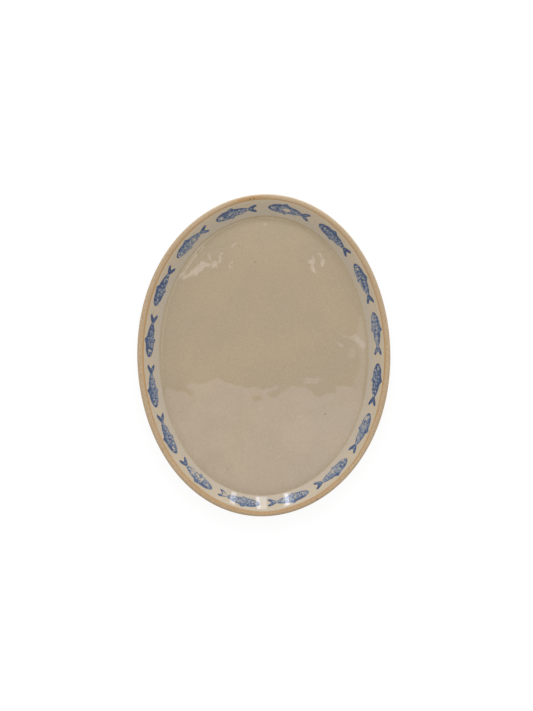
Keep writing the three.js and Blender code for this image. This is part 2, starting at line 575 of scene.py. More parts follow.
@dataclass(frozen=True)
class BareClay:
    """Bare fired stoneware: sandy and matt, flashed orange where the glaze ends, with painted light on its
    far end and painted shade on its near end.
    """

    sand: Colour = paint(186, 162, 131)
    dark_sand: Colour = paint(158, 133, 102)
    pale_sand: Colour = paint(205, 184, 154)
    grit: Colour = paint(96, 74, 52)
    flash: Colour = paint(179, 133, 77)
    sand_size: float = 0.8
    sand_levels: Ramp = Ramp(0.3, 0.55)
    pale_levels: Ramp = Ramp(0.52, 0.72, 0.8)
    # Painted shade: the near end, which faces away from the lamps, is painted darker; it also has a wider,
    # fainter flash band. Painted light: the far end, which faces them, is painted paler.
    near_end: Ramp = Ramp(-122.0, -88.0)
    near_end_painted_shade: float = 0.25
    near_end_wider: float = 0.9
    near_end_fainter: float = 0.3
    far_end_painted_light: Ramp = Ramp(85.0, 125.0, 0.35)
    drift: float = 0.9
    drift_size: float = 11.0
    flash_insets: Ramp = Ramp(3.6, 4.4)
    flash_heights: Ramp = Ramp(14.0, 15.8)
    flash_share: float = 0.75
    flash_even: float = 0.8
    flash_sandy: float = 0.4
    stain_at: Point = (-13.0, 124.5, 17.0)
    stain_reach: Ramp = Ramp(4.0, 22.0)
    stain_insets: Ramp = Ramp(0.2, 2.2)
    stain_share: float = 0.6
    grit_spacing: float = 2.1
    grit_radius: Ramp = Ramp(0.12, 0.34)
    grit_picks: Ramp = Ramp(0.78, 0.86)
    grit_share: float = 0.7
    pits: tuple[Point, ...] = (
        (-12.5, 125.4, 17.6), (-14.1, 124.4, 17.8), (-9.4, 126.2, 17.4), (44.6, -115.7, 17.6),
    )
    pit_radius: Ramp = Ramp(0.35, 0.9)
    ring_pitch: float = 1.3
    ring_heights: Ramp = Ramp(2.2, 4.0)
    ring_relief: float = 0.12
    grain_size: float = 0.55
    grain_relief: float = 0.5
    grit_relief: float = 0.4
    relief_depth: float = 0.22
    roughness: float = 0.72
    roughness_sandy: float = 0.25
    index: float = 1.45
    gloss: float = 0.3

    def material(self) -> bpy.types.Material:
        """Mixes the clay.

        Returns:
            The material.
        """
        material, bench = new_material("Bare_Clay")
        place = bench.place()
        inset = bench.attribute("inset")
        sand = bench.mottle(place, self.sand_size, detail=3.0, roughness=0.65)
        colour = bench.blend(sand.up(self.sand_levels), self.dark_sand, self.sand)
        colour = bench.blend(sand.up(self.pale_levels), colour, self.pale_sand)
        drift = bench.mottle(place, self.drift_size) - 0.5
        _, y, height = bench.parts(place)
        near_end = y.down(self.near_end)
        # Painted shade: the near end is painted darker.
        colour = bench.blend(near_end * self.near_end_painted_shade, colour, self.dark_sand)
        # Painted light: the far end is painted paler.
        colour = bench.blend(y.up(self.far_end_painted_light), colour, self.pale_sand)
        band = (inset + drift * self.drift + near_end * self.near_end_wider).up(self.flash_insets)
        band = band * (self.flash_share - self.near_end_fainter * near_end)
        stain = bench.away(place, self.stain_at).down(self.stain_reach) * inset.up(self.stain_insets)
        flash = band.most(stain * self.stain_share) * (self.flash_even + self.flash_sandy * sand)
        colour = bench.blend(flash * height.up(self.flash_heights), colour, self.flash)
        far, pick = bench.grains(place, self.grit_spacing)
        specks = far.down(self.grit_radius) * pick.up(self.grit_picks)
        for pit in self.pits:
            specks = specks.most(bench.away(place, pit).down(self.pit_radius))
        colour = bench.blend(specks * self.grit_share, colour, self.grit)
        rings = (inset * (2 * math.pi / self.ring_pitch)).sine() * height.down(self.ring_heights)
        grain = bench.mottle(place, self.grain_size, roughness=0.7)
        bumps = sand * self.grain_relief + grain * self.grain_relief
        bumps = bumps + rings * self.ring_relief - specks * self.grit_relief
        bench.surface("ShaderNodeBsdfPrincipled", {
            "Base Color": colour,
            "Roughness": self.roughness + self.roughness_sandy * sand,
            "IOR": self.index,
            "Specular IOR Level": self.gloss,
            "Normal": bench.relief(bumps, self.relief_depth),
        })
        return material


@dataclass(frozen=True)
class GreigeGlaze:
    """Glossy greige glaze over the clay: faint clouds, fine sand and a few specks under a wavy skin, with
    painted light and shade on the wall and round the floor.
    """

    name: str = "Greige_Glaze"
    warm: Colour = paint(176, 157, 128)
    cool: Colour = paint(171, 154, 128)
    # Painted light: the wall is painted paler and greyer than the floor, for the light that it catches and
    # the sky that it reflects, and a little darker towards its foot, painted shade there.
    wall: Colour = paint(184, 168, 143)
    lower_wall_painted_light: Colour = paint(180, 166, 146)
    # The darker tone for the painted shade at the foot of the wall and in its crease, and for the haze on the
    # near floor.
    shade_and_haze: Colour = paint(158, 140, 110)
    pale: Colour = paint(196, 180, 152)
    dark: Colour = paint(146, 126, 98)
    speck: Colour = paint(92, 72, 54)
    cloud_size: float = 38.0
    cloud_levels: Ramp = Ramp(0.35, 0.65)
    sand_size: float = 1.1
    pale_sand: Ramp = Ramp(0.5, 0.75, 0.4)
    dark_sand: Ramp = Ramp(0.25, 0.5, 0.3)
    lower_wall_painted_light_insets: Ramp = Ramp(9.0, 15.0)
    wall_ends: Ramp = Ramp(15.4, 17.2)
    # Painted light: the far end of the floor is painted paler.
    far_floor_painted_light: Ramp = Ramp(70.0, 112.0, 0.3)
    haze_size: float = 24.0
    haze_end: Ramp = Ramp(-40.0, -5.0)
    haze_levels: Ramp = Ramp(0.38, 0.55)
    haze_share: float = 0.22
    # Painted shade in a band at the foot of the wall, strongest at the far end.
    corner_shade_starts: Ramp = Ramp(16.4, 17.2)
    corner_shade_fades: Ramp = Ramp(17.2, 24.0)
    corner_shade_share: float = 0.28
    corner_shade_near: Ramp = Ramp(-110.0, -60.0, 0.17)
    corner_shade_far: Ramp = Ramp(60.0, 115.0, 0.6)
    corner_shade_right: Ramp = Ramp(40.0, 85.0, 0.16)
    line_wander: float = 1.5
    # Painted shade: a thin dark line in the crease of wall and floor.
    crease_shade_inset: float = 17.2
    crease_shade_width: Ramp = Ramp(0.3, 1.3, 0.07)
    # Painted highlight: a thin pale line round the floor, on the upper left side only.
    highlight_line: float = 18.9
    highlight_line_width: Ramp = Ramp(0.15, 0.7)
    highlight_line_clouds: Ramp = Ramp(0.35, 0.55)
    highlight_line_side: Ramp = Ramp(40.0, 90.0)
    highlight_line_share: float = 0.4
    blemish_at: Point = (-0.2, 106.5, 8.0)
    blemish_ragged: float = 4.0
    blemish_radius: Ramp = Ramp(0.5, 2.4, 0.6)
    dot_spacing: float = 5.5
    dot_radius: Ramp = Ramp(0.1, 0.32)
    dot_picks: Ramp = Ramp(0.84, 0.9)
    dot_share: float = 0.45
    specks: tuple[Point, ...] = (
        (50.3, -47.2, 0.75), (-8.0, 75.5, 0.5), (-21.5, 89.0, 0.45), (-28.5, -92.9, 0.45),
    )
    speck_height: float = 8.0
    speck_edge: Pair = (0.35, 1.3)
    speck_share: float = 0.75
    skin_size: float = 3.2
    skin_relief: float = 0.0008
    roughness: float = 0.015
    roughness_swing: float = 0.01
    index: float = 1.5

    def colour(self, bench: NodeBench, place: Shade) -> Shade:
        """Colour of the glaze without its stamps.

        Args:
            bench: the bench of its material.
            place: object coordinates in millimetres.

        Returns:
            The colour.
        """
        clouds = bench.mottle(place, self.cloud_size, detail=3.0)
        sand = bench.mottle(place, self.sand_size, detail=3.0, roughness=0.7)
        colour = bench.blend(clouds.up(self.cloud_levels), self.warm, self.cool)
        inset = bench.attribute("inset")
        # Painted light and shade on the wall: paler than the floor, a little darker and greyer towards its
        # foot.
        wall = bench.blend(inset.up(self.lower_wall_painted_light_insets), self.wall, self.lower_wall_painted_light)
        x, y = bench.parts(place)[:2]
        # Painted light: the far end of the floor is painted paler.
        colour = bench.blend(y.up(self.far_floor_painted_light), colour, self.pale)
        haze = bench.mottle(place, self.haze_size, detail=3.0).down(self.haze_levels)
        colour = bench.blend(y.down(self.haze_end) * haze * self.haze_share, colour, self.shade_and_haze)
        # Painted shade: a band at the foot of the wall, strongest at the far end, a little stronger at the
        # near end and weaker on the right.
        depth = self.corner_shade_share + y.down(self.corner_shade_near) + y.up(self.corner_shade_far) - x.up(self.corner_shade_right)
        shade_and_haze = inset.up(self.corner_shade_starts) * inset.down(self.corner_shade_fades)
        colour = bench.blend(shade_and_haze * depth, colour, self.shade_and_haze)
        # The wall's painted colour, down to the floor's edge.
        colour = bench.blend(inset.down(self.wall_ends), colour, wall)
        wander = (clouds - 0.5) * self.line_wander
        # Painted shade: a thin dark line in the crease where the wall meets the floor.
        crease_line_shade = abs(inset - self.crease_shade_inset + wander).down(self.crease_shade_width)
        colour = bench.blend(crease_line_shade, colour, self.shade_and_haze)
        # Painted highlight: a thin pale line over the ridge round the floor, broken by the clouds, on the
        # upper left side only.
        ridge_highlight = abs(inset - self.highlight_line + wander).down(self.highlight_line_width)
        ridge_highlight = ridge_highlight * clouds.up(self.highlight_line_clouds) * (y - x).up(self.highlight_line_side)
        colour = bench.blend(ridge_highlight * self.highlight_line_share, colour, self.pale)
        colour = bench.blend(sand.up(self.pale_sand), colour, self.pale)
        colour = bench.blend(sand.down(self.dark_sand), colour, self.dark)
        blemish = bench.away(place, self.blemish_at) + (sand - 0.5) * self.blemish_ragged
        colour = bench.blend(blemish.down(self.blemish_radius), colour, self.pale)
        far, pick = bench.grains(place, self.dot_spacing)
        dots = far.down(self.dot_radius) * pick.up(self.dot_picks) * self.dot_share
        inner, outer = self.speck_edge
        for right, ahead, radius in self.specks:
            away = bench.away(place, (right, ahead, self.speck_height))
            dots = dots.most(away.down(Ramp(inner * radius, outer * radius, self.speck_share)))
        return bench.blend(dots, colour, self.speck)

    def glaze(self, bench: NodeBench, place: Shade, colour: Shade) -> None:
        """Puts the glossy skin over a colour.

        Args:
            bench: the bench of its material.
            place: object coordinates in millimetres.
            colour: what lies under the skin.
        """
        skin = bench.mottle(place, self.skin_size)
        bench.surface("ShaderNodeBsdfPrincipled", {
            "Base Color": colour,
            "Roughness": self.roughness + self.roughness_swing * skin,
            "IOR": self.index,
            "Normal": bench.relief(skin, self.skin_relief),
        })

    def material(self) -> bpy.types.Material:
        """Mixes the glaze.

        Returns:
            The material.
        """
        material, bench = new_material(self.name)
        place = bench.place()
        self.glaze(bench, place, self.colour(bench, place))
        return material


def from_spot(x: Shade, y: Shade, at: Pair, shares: Pair = (1.0, 1.0)) -> Shade:
    """Distance of a fish's point from a spot of it.

    Args:
        x: the point's distance from the nose.
        y: its height over the middle line.
        at: the spot, in the same way.
        shares: how much each square counts.

    Returns:
        The distance.
    """
    off, over = x - at[0], y - at[1]
    return (off * off * shares[0] + over * over * shares[1]).root()


@dataclass(frozen=True)
class StampedGlaze(GreigeGlaze):
    """The same glaze with a fish in cobalt under it, as unevenly inked as a hand stamp leaves it."""

    name: str = "Stamped_Cobalt"
    ink: Colour = paint(55, 70, 103)
    thin_ink: Colour = paint(94, 112, 135)
    length: float = FISH_LENGTH
    level: float = 0.62
    back: Ramp = Ramp(0.25, 0.55, 0.26)
    belly: Ramp = Ramp(-0.7, -0.2, 0.06)
    nose: Ramp = Ramp(1.2, 3.0, 0.3)
    outline_sides: Ramp = Ramp(0.6, 0.85)
    outline_end: Ramp = Ramp(0.93, 0.97)
    outline_ink: float = 0.2
    blot_size: float = 1.7
    blot_ink: float = 1.7
    blot_depth: float = 1.3
    ragged: float = 0.6
    ragged_sides: Ramp = Ramp(0.9, 1.02)
    nose_tip: Ramp = Ramp(0.0, 0.015)
    firm_tail: Ramp = Ramp(-6.0, -3.0, 0.9)
    edge_ink: float = 0.3
    scale_length: float = 1.9
    scale_depth: float = 1.5
    scale_gaps: Ramp = Ramp(0.35, 0.8, 0.12)
    gill: float = 7.8
    gill_middle: float = 1.0
    gill_line: Ramp = Ramp(0.25, 0.6, 0.25)
    head_end: Ramp = Ramp(-0.4, 0.4)
    cheek_at: Pair = (5.4, -0.2)
    cheek_shares: Pair = (1.0, 0.7)
    cheek: Ramp = Ramp(0.8, 1.7, 0.3)
    cheek_blots: Ramp = Ramp(0.45, 0.55)
    eye_at: Pair = (3.2, 0.9)
    eye_white: Ramp = Ramp(0.6, 0.85, 0.5)
    pupil: Ramp = Ramp(0.3, 0.5, 0.9)
    root: float = 28.0
    tail_start: Ramp = Ramp(-0.3, 0.5)
    tail_ink: float = 0.35
    ray_middle: float = 3.5
    ray_pace: float = 24.0
    ray_gaps: Ramp = Ramp(0.1, 0.9, 0.12)
    waist_before: float = 0.6
    waist: Ramp = Ramp(0.3, 1.0, 0.15)
    wear_size: float = 4.5
    wear_level: float = 0.46
    wear_edge: Ramp = Ramp(0.0, 0.12)
    blank_at: Pair = (15.5, -0.4)
    blank_shares: Pair = (0.22, 1.0)
    blank_radius: Ramp = Ramp(1.0, 1.7)
    hollow_share: float = 0.9
    cover: Ramp = Ramp(0.0, 1.0)
    depth: Ramp = Ramp(0.45, 1.1)

    def face(self, x: Shade, y: Shade, blots: Shade, inside: Shade) -> Shade:
        """The ink that the cheek, gill and eye add or take off.

        Args:
            x: distance from the nose.
            y: height over the middle line.
            blots: the blots of the ink.
            inside: 1 inside the outline, 0 on it.

        Returns:
            What is added.
        """
        cheek = from_spot(x, y, self.cheek_at, self.cheek_shares).down(self.cheek)
        bow = abs(from_spot(x, y, (self.gill_middle, 0.0)) - self.gill + self.gill_middle)
        eye = from_spot(x, y, self.eye_at)
        added = bow.down(self.gill_line) * inside - cheek * blots.down(self.cheek_blots)
        return added - eye.down(self.eye_white) + eye.down(self.pupil)

    def scales(self, x: Shade, y: Shade) -> Shade:
        """The ink that the gaps between the scales take off.

        Args:
            x: distance from the nose.
            y: height over the middle line.

        Returns:
            What is taken off.
        """
        on, over = x / self.scale_length, y / self.scale_depth
        lattice = ((on + over) * math.pi).sine() * ((on - over) * math.pi).sine()
        return abs(lattice).up(self.scale_gaps)

    def inked(self, bench: NodeBench, place: Shade) -> tuple[Shade, Shade]:
        """How much ink there is, on the drawing that the mesh carries.

        Args:
            bench: the bench of its material.
            place: object coordinates in millimetres.

        Returns:
            How much of the glaze the ink covers and how deep its blue is, both from 0 to 1.
        """
        u, v, _ = bench.parts(bench.shade("ShaderNodeUVMap", {"uv_map": "stamp"}))
        x, y = u * self.length, (v - 0.5) * self.length
        across, along = bench.attribute("across"), bench.attribute("along")
        past_root = x - self.root
        head, tail = (x - self.gill).down(self.head_end), past_root.up(self.tail_start)
        outline = abs(across).up(self.outline_sides).most(along.up(self.outline_end))
        inside = 1 - outline
        blots = bench.mottle(place, self.blot_size, roughness=0.6)
        blot = blots - 0.5
        ink = self.level + across.up(self.back) - across.down(self.belly) + self.outline_ink * outline
        ink = ink + x.down(self.nose) + blot * self.blot_ink + self.face(x, y, blots, inside)
        ink = ink - (1 - head) * (1 - tail) * self.scales(x, y)
        rays = (y / (past_root + self.ray_middle) * self.ray_pace).sine()
        ink = ink + self.tail_ink * tail - tail * rays.up(self.ray_gaps) * inside
        ink = ink - abs(past_root + self.waist_before).down(self.waist)
        wear = bench.mottle(place, self.wear_size, roughness=0.6)
        ink = ink - bench.attribute("gaps") * (self.wear_level - wear).up(self.wear_edge)
        middle = from_spot(x, y, self.blank_at, self.blank_shares)
        ink = ink - bench.attribute("blank") * middle.down(self.blank_radius)
        ink = ink - bench.attribute("hollow") * tail * inside * self.hollow_share
        load = bench.attribute("load")
        bare = (ink * load).down(self.cover)
        soft = (abs(across) + blot * self.ragged).down(self.ragged_sides).least(along.up(self.nose_tip))
        soft = soft.most(past_root.up(self.firm_tail))
        cover = (1 - bare * bare) * (self.edge_ink + (1 - self.edge_ink) * soft)
        return cover, ((ink + blot * self.blot_depth) * load * load).up(self.depth)

    def material(self) -> bpy.types.Material:
        """Mixes the glaze and the ink.

        Returns:
            The material.
        """
        material, bench = new_material(self.name)
        place = bench.place()
        cover, depth = self.inked(bench, place)
        blue = bench.blend(depth, self.thin_ink, self.ink)
        self.glaze(bench, place, bench.blend(cover, self.colour(bench, place), blue))
        return material


@dataclass
class ClayBody:
    """The fired clay: foot ring, wall, rolled rim and the floor under the glaze."""

    plan: OvalPlan
    wall: WallProfile
    foot_height: float = 2.0
    foot_width: float = 5.0
    foot_setback: float = 1.5
    foot_slant: float = 0.3
    foot_rounding: float = 0.7
    hollow_rounding: float = 0.6
    step_rounding: float = 0.5
    base_rounding: float = 2.0
    lip_rounding: float = 1.2
    rim_steps: int = 5
    facets: int = 240
    longest: float = 3.0

    def profile(self) -> list[Corner]:
        """The profile from the middle of the underside round the rim to the middle of the floor.

        Returns:
            Its corners.
        """
        wall, foot = self.wall, self.foot_height
        back_inset, back_height = wall.point(0, -wall.thickness)
        base = back_inset + (back_height - foot) / math.tan(wall.slope)
        outer = base + self.base_rounding + self.foot_setback
        inner = outer + self.foot_width
        lip = (0.0, back_height + back_inset * math.tan(wall.slope))
        crest_end = wall.point(wall.drop_to(wall.height, 0), 0)[0]
        crest = (crest_end / 2, wall.height)
        return [
            Corner(self.plan.half_width, foot),
            Corner(inner + self.foot_rounding, foot, self.hollow_rounding),
            Corner(inner - self.foot_slant, 0.0, self.foot_rounding),
            Corner(outer, 0.0, self.foot_rounding),
            Corner(outer, foot, self.step_rounding),
            Corner(base, foot, self.base_rounding),
            Corner(*lip, self.lip_rounding),
            *bent(lip, (0.0, wall.height), crest, self.rim_steps),
            *bent(crest, (crest_end, wall.height), wall.point(0, 0), self.rim_steps),
            Corner(*wall.corner(0)),
            Corner(self.plan.half_width, wall.floor_height),
        ]

    def build(self) -> bmesh.types.BMesh:
        """Turns the clay and presses it to the oval.

        Returns:
            The clay as a closed mesh in millimetres.
        """
        bm = turned(self.profile(), self.plan.half_width, self.facets, self.longest)
        press_to_oval(bm, self.plan, lambda point, inset: 0.0)
        return bm

    def dress(self, clay: BareClay) -> bpy.types.Object:
        """Builds the clay and gives it its finish."""
        return finished(self.build(), "Clay_Body", clay.material(), "stoneware_body")


@dataclass
class GlazeLining:
    """The glaze poured over the wall and the floor, thin at its edge and gently wavy on the floor."""

    plan: OvalPlan
    wall: WallProfile
    edge_drops: tuple[float, ...] = (0.0, 0.12, 0.35, 0.7, 1.1, 1.6, 2.1, 2.6)
    tuck_drop: float = -0.02
    tuck_lift: float = -0.05
    wave: float = 0.18
    wave_length: float = 42.0
    wave_seed: float = 1.3
    quick_wave: float = 0.075
    quick_length: float = 14.0
    quick_seed: float = 4.6
    quick_fading: float = 0.9
    quick_finer: float = 2.0
    quick_layers: int = 2
    still_to: float = 17.0
    wavy_from: float = 46.0
    ridge: float = 0.02
    ridge_at: float = 18.9
    ridge_width: float = 0.7
    depth: float = 0.7
    facets: int = 300
    longest: float = 1.4

    def profile(self) -> list[Corner]:
        """The profile of the skin, from its edge on the rim to the middle of the floor.

        Returns:
            Its corners.
        """
        wall = self.wall
        tuck = Corner(*wall.point(self.tuck_drop, self.tuck_lift))
        edge = [Corner(*wall.point(drop, wall.glaze_at(drop))) for drop in self.edge_drops]
        middle = Corner(self.plan.half_width, wall.floor_height + wall.glaze)
        return [tuck, *edge, Corner(*wall.corner(wall.glaze)), middle]

    def ripple(self, point: Vector, inset: float) -> float:
        """How far the skin is raised by its waves and by the ridge round the floor.

        Args:
            point: the place.
            inset: its inset from the outline.

        Returns:
            The height that is added.
        """
        x, y = point.xy
        slow = noise.noise(Vector((x / self.wave_length, y / self.wave_length, self.wave_seed)))
        quick_at = Vector((x / self.quick_length, y / self.quick_length, self.quick_seed))
        quick = noise.fractal(quick_at, self.quick_fading, self.quick_finer, self.quick_layers)
        waves = self.wave * slow + self.quick_wave * quick
        ridge = self.ridge * (0.5 + slow) * math.exp(-(((inset - self.ridge_at) / self.ridge_width) ** 2))
        return waves * smooth_step(inset, self.still_to, self.wavy_from) + ridge

    def build(self) -> bmesh.types.BMesh:
        """The glaze as a closed coat in millimetres.

        Returns:
            The mesh, whose underside lies a little way into the clay.
        """
        bm = turned(self.profile(), self.plan.half_width, self.facets, self.longest)
        lowest = min(bm.faces, key=lambda face: face.calc_center_median().xy.length)
        if lowest.normal.z < 0:
            bmesh.ops.reverse_faces(bm, faces=bm.faces)
        press_to_oval(bm, self.plan, self.ripple)
        bm.normal_update()
        bmesh.ops.solidify(bm, geom=bm.faces[:], thickness=self.depth)
        return bm

    def dress(self, glaze: GreigeGlaze) -> bpy.types.Object:
        """Builds the glaze and gives it its finish."""
        return finished(self.build(), "Glaze_Lining", glaze.material(), "glaze_lining")


@dataclass(frozen=True)
class Ink:
    """How a stamp came off: how strong, how worn, blank in the middle, hollow in the tail."""

    load: float
    gaps: float
    blank: float = 0.0
    hollow: float = 0.0


class Inking(Enum):
    """The ways in which the stamps came off."""

    DARK = Ink(1.13, 0.0)
    FULL = Ink(1.04, 0.1)
    FAIR = Ink(0.95, 0.2, 0.0, 0.3)
    PATCHY = Ink(0.96, 0.35)
    PALE = Ink(0.93, 0.3)
    BLANK_MIDDLE = Ink(1.05, 0.2, 1.3, 0.3)
    HOLLOW_TAIL = Ink(0.93, 0.1, 0.0, 0.8)


class StampLine:
    """The line round the wall along which the fish swim."""

    STEPS = 720
    NUDGE = 0.01

    def __init__(self, plan: OvalPlan, wall: WallProfile, drop: float, swing: float) -> None:
        """Measures the line.

        Args:
            plan: the platter's plan.
            wall: the wall that the line lies on.
            drop: how far down the wall it lies.
            swing: how much further at the ends of the oval, and less along its sides.
        """
        self.plan, self.wall, self.drop, self.swing = plan, wall, drop, swing
        self.angles = [2 * math.pi * step / self.STEPS for step in range(self.STEPS + 1)]
        points = [self._at(angle, 0.0, 0.0) for angle in self.angles]
        self.runs = [0.0]
        for start, end in zip(points, points[1:]):
            self.runs.append(self.runs[-1] + (end - start).length)

    def drop_at(self, angle: float) -> float:
        """How far down the wall the line lies at a sweep angle."""
        return self.drop - self.swing * math.cos(2 * angle)

    def _at(self, angle: float, up: float, lift: float) -> Vector:
        """A point of the wall at a sweep angle, up it from the line and off it."""
        return self.plan.place(angle, *self.wall.point(self.drop_at(angle) - up, lift))

    @property
    def length(self) -> float:
        """Length of the whole line."""
        return self.runs[-1]

    def angle_at(self, run: float) -> float:
        """Finds a place along the line.

        Args:
            run: distance along the line, anticlockwise.

        Returns:
            The sweep angle there.
        """
        run %= self.length
        i = bisect.bisect_right(self.runs, run) - 1
        share = (run - self.runs[i]) / (self.runs[i + 1] - self.runs[i])
        return self.angles[i] + share * (self.angles[i + 1] - self.angles[i])

    def lay(self, run: float, up: float, proud: float) -> Vector:
        """Lays a point of a drawing on the glazed wall.

        Args:
            run: distance along the line, anticlockwise.
            up: distance up the wall from the line, square to it.
            proud: how far the point stands off the glaze.

        Returns:
            The point.
        """
        angle = self.angle_at(run)
        ahead, behind = angle + self.NUDGE, angle - self.NUDGE
        along = (self._at(ahead, 0.0, 0.0) - self._at(behind, 0.0, 0.0)).normalized()
        climb = self._at(angle, 1.0, 0.0) - self._at(angle, 0.0, 0.0)
        slant = climb.dot(along)
        rise = up / math.sqrt(climb.length_squared - slant * slant)
        beside = self.angle_at(run - slant * rise)
        glaze = self.wall.glaze_at(max(0.0, self.drop_at(beside) - rise))
        return self._at(beside, rise, glaze + proud)


@dataclass(frozen=True)
class FishDrawing:
    """The outline of one fish, with its nose at 0 and its back up."""

    length: float = FISH_LENGTH
    depth: float = 8.2
    waist_depth: float = 7.0
    tail_length: float = 7.2
    tail_spread: float = 7.0
    tail_fork: float = 3.4
    tail_root: float = 2.2
    back_fin: float = 1.3
    back_fin_length: float = 6.0
    belly_fin: float = 1.1
    belly_fin_length: float = 4.4
    lobe_tip: float = 0.72
    lobe_rounding: float = 1.3
    last_fin: float = 0.5
    last_fin_at: float = 22.4
    last_fin_width: float = 1.2
    fin_crest: float = 0.12
    fin_bow: float = 0.9
    nose_bow: float = 2.3
    nose_blunt: float = 0.62
    stalk_bow: float = 1.7
    lobe_bow: float = 1.6

    def edge(self, x: float, side: float) -> float:
        """How far the outline lies from the middle line.

        Args:
            x: distance from the nose.
            side: above 0 for the back, below 0 for the belly.

        Returns:
            The distance.
        """
        root = self.length - self.tail_length
        fin = root / 2
        stalk, deep, waist = self.tail_root / 2, self.depth / 2, self.waist_depth / 2
        fin_height, fin_length = (
            (self.back_fin, self.back_fin_length) if side > 0 else (self.belly_fin, self.belly_fin_length)
        )
        if x >= root:
            share = min(1.0, (x - root) / self.tail_length)
            return stalk + (self.tail_spread / 2 - stalk) * (1 - (1 - share) ** self.lobe_bow)
        front = fin - fin_length / 2
        back = fin + fin_length / 2
        if x <= front:
            return deep * (1 - (1 - x / front) ** self.nose_bow) ** self.nose_blunt
        if x >= back:
            share = (x - back) / (root - back)
            off = (x - self.last_fin_at) / self.last_fin_width
            last = self.last_fin * math.exp(-(off ** 2)) if side < 0 else 0.0
            return waist + (stalk - waist) * share ** self.stalk_bow + last
        crest = fin + self.fin_crest * fin_length
        body = deep if x < crest else deep + (waist - deep) * (x - crest) / (back - crest)
        reach = crest - front if x < crest else back - crest
        return body + fin_height * (1 - abs(x - crest) / reach) ** self.fin_bow

    def point(self, along: float, across: float) -> tuple[float, float]:
        """A point of the fish.

        Args:
            along: share of the length, 0 at the nose.
            across: share of the half depth, from -1 at the belly to 1 at the back.

        Returns:
            Distance from the nose, and height over the middle line.
        """
        root = self.length - self.tail_length
        x = along * self.length
        y = across * self.edge(x, across)
        if x > root:
            inner = min(1.0, abs(across) / self.lobe_tip)
            outer = max(0.0, abs(across) - self.lobe_tip) / (1 - self.lobe_tip)
            tip = self.length - self.tail_fork * (1 - inner) - self.lobe_rounding * outer * outer
            x = root + (tip - root) * (x - root) / self.tail_length
        return x, y


@dataclass
class FishBand:
    """The sixteen fish stamped round the wall, each its own patch of inked glaze."""

    plan: OvalPlan
    wall: WallProfile
    drawing: FishDrawing = field(default_factory=FishDrawing)
    drop: float = 6.5
    swing: float = 0.8
    start: float = 22.9
    stray_once: float = 0.6
    stray_once_turn: float = math.radians(68.5)
    stray_twice: float = 0.13
    stray_twice_turn: float = math.radians(155)
    tilt: float = math.radians(1.2)
    proud: float = 0.03
    depth: float = 0.25
    columns: int = 110
    rows: int = 16
    inkings: tuple[Inking, ...] = (
        Inking.FAIR, Inking.FULL, Inking.DARK, Inking.BLANK_MIDDLE,
        Inking.FULL, Inking.FAIR, Inking.DARK, Inking.DARK,
        Inking.FULL, Inking.FULL, Inking.PATCHY, Inking.HOLLOW_TAIL,
        Inking.FAIR, Inking.PALE, Inking.PALE, Inking.DARK,
    )

    def build(self, line: StampLine, number: int) -> bmesh.types.BMesh:
        """One fish as a thin closed patch on the wall.

        Args:
            line: the line that the fish swim along.
            number: which fish, from 0.

        Returns:
            The mesh in millimetres, with its drawing as a UV map and its inking as attributes.
        """
        count = len(self.inkings)
        turn = 2 * math.pi * number / count
        gap = line.length / count - self.drawing.length
        stray = self.stray_once * math.sin(turn - self.stray_once_turn)
        stray += self.stray_twice * math.sin(2 * turn - self.stray_twice_turn)
        run = self.start + number * line.length / count + gap * stray
        lean = self.tilt * (1 - math.cos(turn))
        ink = self.inkings[number].value
        bm = bmesh.new()
        bmesh.ops.create_grid(bm, x_segments=self.columns, y_segments=self.rows, size=1.0)
        drawn = bm.loops.layers.uv.new("stamp")
        names = ("along", "across", "load", "gaps", "blank", "hollow")
        marks = [bm.verts.layers.float.new(name) for name in names]
        for vert in bm.verts:
            along, across = (vert.co.x + 1) / 2, vert.co.y
            x, y = self.drawing.point(along, across)
            for mark, value in zip(marks, (along, across, ink.load, ink.gaps, ink.blank, ink.hollow)):
                vert[mark] = value
            for loop in vert.link_loops:
                loop[drawn].uv = x / self.drawing.length, 0.5 + y / self.drawing.length
            x -= self.drawing.length / 2
            ahead = x * math.cos(lean) + y * math.sin(lean)
            up = y * math.cos(lean) - x * math.sin(lean)
            vert.co = line.lay(run - ahead, up, self.proud)
        bmesh.ops.remove_doubles(bm, verts=bm.verts, dist=STAMP_WELD)
        bm.normal_update()
        if sum(face.normal.z * face.calc_area() for face in bm.faces) < 0:
            bmesh.ops.reverse_faces(bm, faces=bm.faces)
            bm.normal_update()
        bmesh.ops.solidify(bm, geom=bm.faces[:], thickness=self.depth)
        return bm

    def dress(self, glaze: StampedGlaze) -> list[bpy.types.Object]:
        """Builds the fish and gives them their finish.

        Args:
            glaze: the stamped glaze.

        Returns:
            The fish in order.
        """
        line = StampLine(self.plan, self.wall, self.drop, self.swing)
        material = glaze.material()
        return [
            finished(
                self.build(line, number), f"Fish_{number + 1:02d}", material,
                f"fish_stamp_{number + 1:02d}",
            )
            for number in range(len(self.inkings))
        ]


@dataclass(frozen=True)
class Panel:
    """A lamp with an even face: where it hangs, where it looks, its size in metres and its brightness."""

    name: str
    at: Point
    towards: Point
    width: float
    height: float
    brightness: float
    tint: Point = (1.0, 1.0, 1.0)
    turn: float = 0.0

    def build(self) -> bpy.types.Object:
        """Hangs the lamp, out of the camera's sight.

        Returns:
            The lamp.
        """
        lamp = bpy.data.lights.new(self.name, "AREA")
        lamp.shape = "RECTANGLE"
        lamp.size, lamp.size_y = self.width, self.height
        lamp.color = self.tint
        lamp.energy = self.brightness * math.pi * self.width * self.height
        holder = bpy.data.objects.new(self.name, lamp)
        bpy.context.scene.collection.objects.link(holder)
        holder.location = self.at
        look = (Vector(self.towards) - Vector(self.at)).to_track_quat("-Z", "Y").to_euler()
        look.rotate_axis("Z", math.radians(self.turn))
        holder.rotation_euler = look
        holder.visible_camera = False
        return holder


